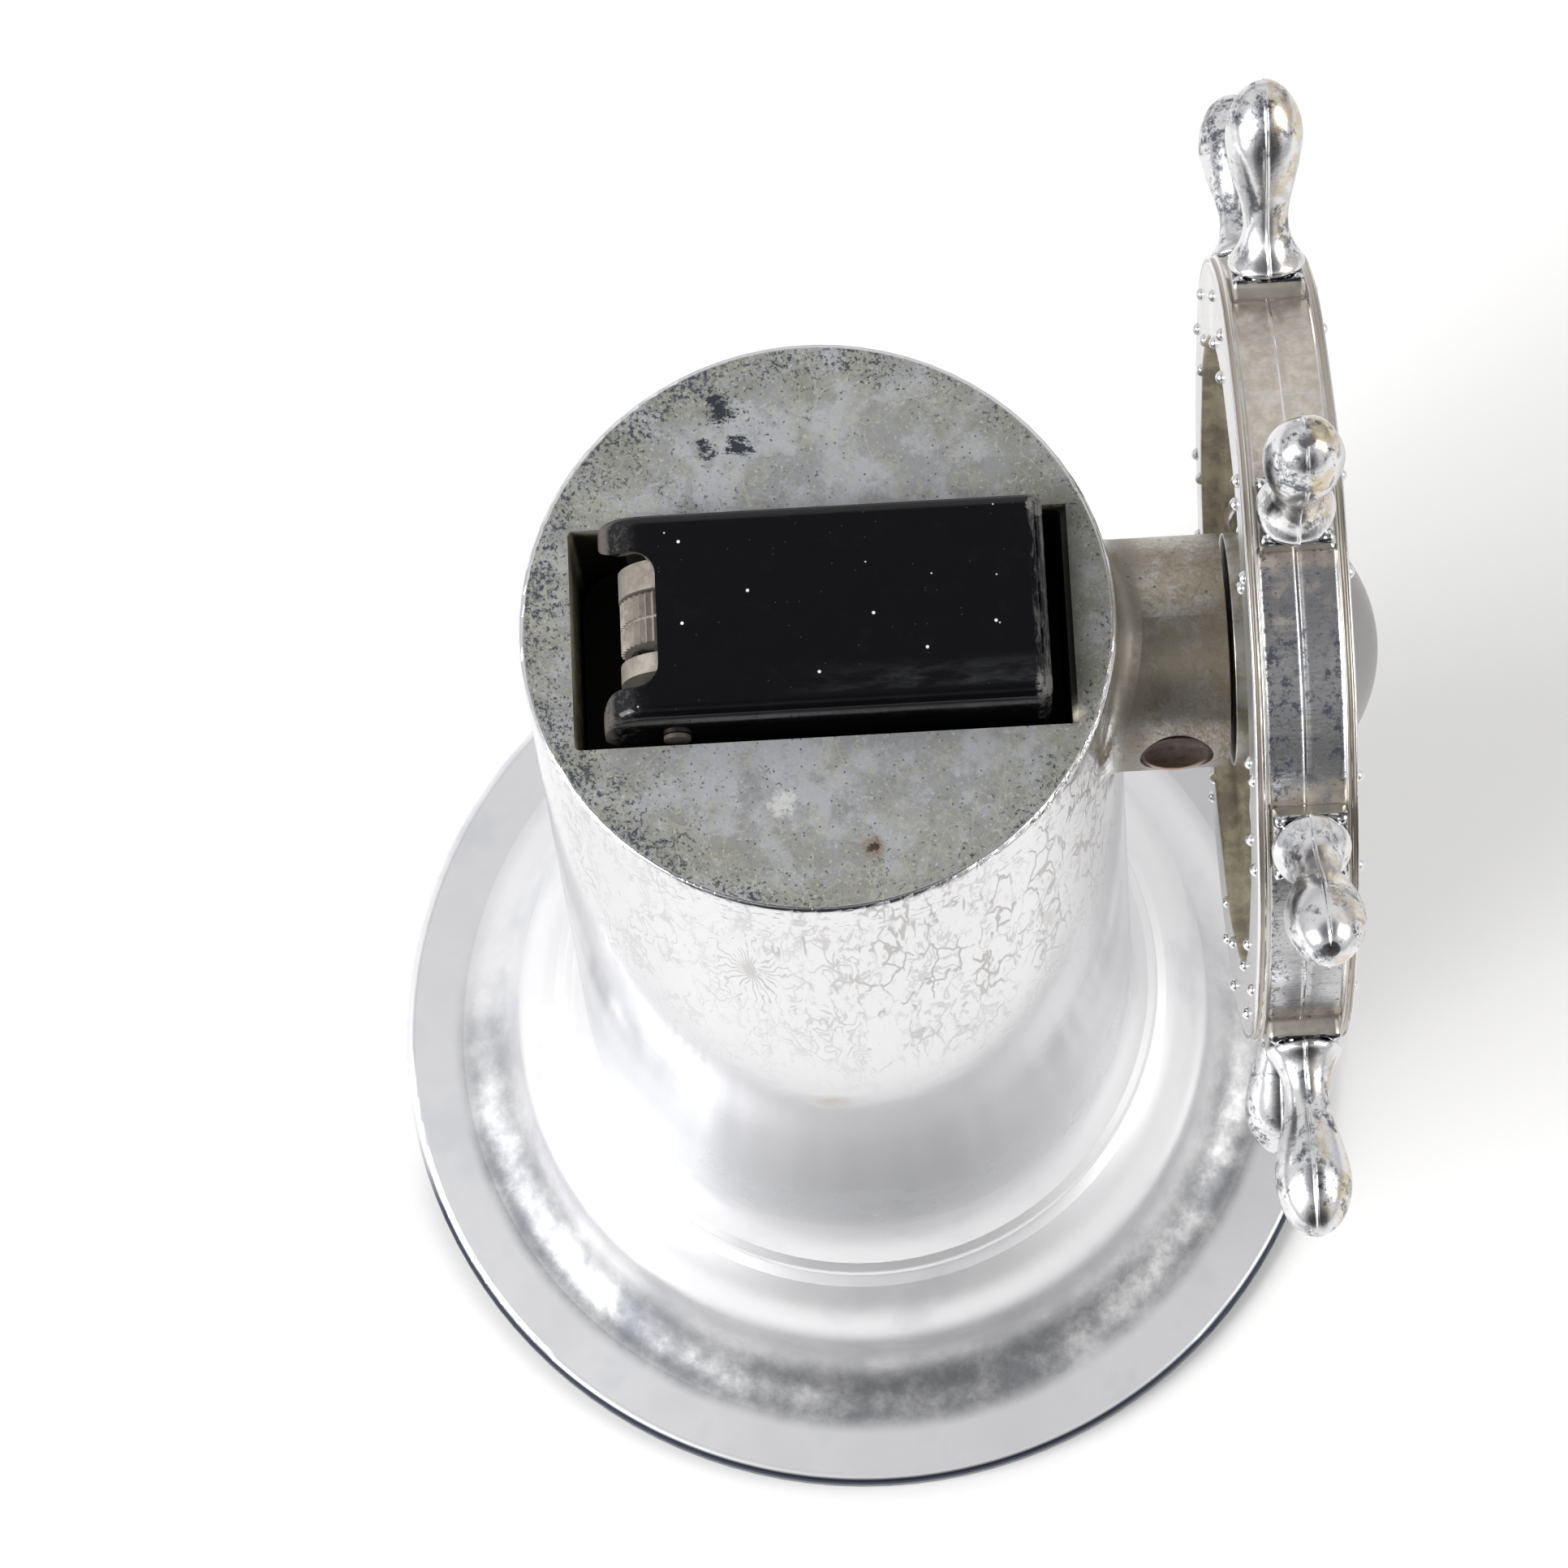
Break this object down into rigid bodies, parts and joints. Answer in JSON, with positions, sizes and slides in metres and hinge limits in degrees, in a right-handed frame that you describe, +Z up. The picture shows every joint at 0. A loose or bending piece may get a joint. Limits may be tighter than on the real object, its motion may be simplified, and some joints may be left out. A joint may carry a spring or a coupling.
{
  "type": "ship's-wheel table lighter",
  "caption": "Chromed pedestal table lighter with a spinning ship's wheel on its side and a lift-out lever-action petrol lighter insert in its top.",
  "frame": {"origin": "centre of the pedestal's base on the surface it stands on", "axes": "+Z up along the pedestal's axis, +X towards the ship's wheel, whose axle lies along X"},
  "size_m": [0.0858, 0.0864, 0.1532],
  "materials": {
    "pedestal_chrome": "bright chrome plate, worn to matte zinc grey on the top face",
    "wheel_chrome": "bright chrome plate with tan stains and dark pitting",
    "cap_satin": "satin chrome plate",
    "plain_steel": "plain nickel-plated steel",
    "base_felt": "dense green felt",
    "plug_copper": "dark coppery brown, dished and polished",
    "brass_parts": "turned brass, dull",
    "striker_brass": "tarnished brass with soot",
    "striker_steel": "hardened steel, soot stained",
    "dark_steel": "blued steel",
    "spring_steel": "bright spring wire",
    "flint_alloy": "matte pressed flint alloy",
    "gasket_rubber": "matte black rubber",
    "cotton": "undyed cotton",
    "lid_enamel": "gloss black enamel, worn to bare metal at the edges"
  },
  "bodies": {
    "pedestal": {"column": "pedestal_chrome", "base_cover": "plain_steel", "felt_pad": "base_felt", "cover_screws": "plain_steel", "wheel_axle": "plain_steel", "axle_retaining_plug": "plug_copper", "thrust_washer": "brass_parts", "axle_washer": "brass_parts"},
    "wheel": {"ships_wheel": "wheel_chrome", "hub_cap": "cap_satin"},
    "insert": {"tank_shell": "plain_steel", "tank_bottom": "plain_steel", "filler_screw": "brass_parts", "filler_gasket": "gasket_rubber", "cotton_wadding": "cotton", "wick_tube": "brass_parts", "wick": "cotton", "flint_tube": "brass_parts", "flint": "flint_alloy", "flint_spring": "spring_steel", "flint_screw": "brass_parts", "burner_frame": "plain_steel", "wheel_bracket": "striker_brass", "pivot_pin": "plain_steel", "lid_spring": "spring_steel"},
    "lid": {"lid": "lid_enamel", "drive_pawl": "dark_steel", "snuffer_cap": "brass_parts"},
    "striker": {"spark_wheel": "striker_steel"}
  },
  "joints": [
    {"name": "wheel_spin", "type": "hinge", "parent": "pedestal", "child": "wheel", "pos_m": [0.03245, 0, 0.11004], "axis": [1, 0, 0], "continuous": true},
    {"name": "insert_lift", "type": "slide", "parent": "pedestal", "child": "insert", "axis": [0, 0, 1], "range_m": [0, 0.06]},
    {"name": "lid_hinge", "type": "hinge", "parent": "insert", "child": "lid", "pos_m": [-0.0101, 0, 0.121], "axis": [0, -1, 0], "range_deg": [0, 45], "stiffness_Nm_per_rad": 0.01, "springref_deg": -28.65},
    {"name": "striker_spin", "type": "hinge", "parent": "insert", "child": "striker", "pos_m": [-0.0101, 0, 0.121], "axis": [0, -1, 0], "range_deg": [0, 45]}
  ],
  "couplings": [
    {"joint": "striker_spin", "follows": "lid_hinge", "ratio": 1}
  ]
}
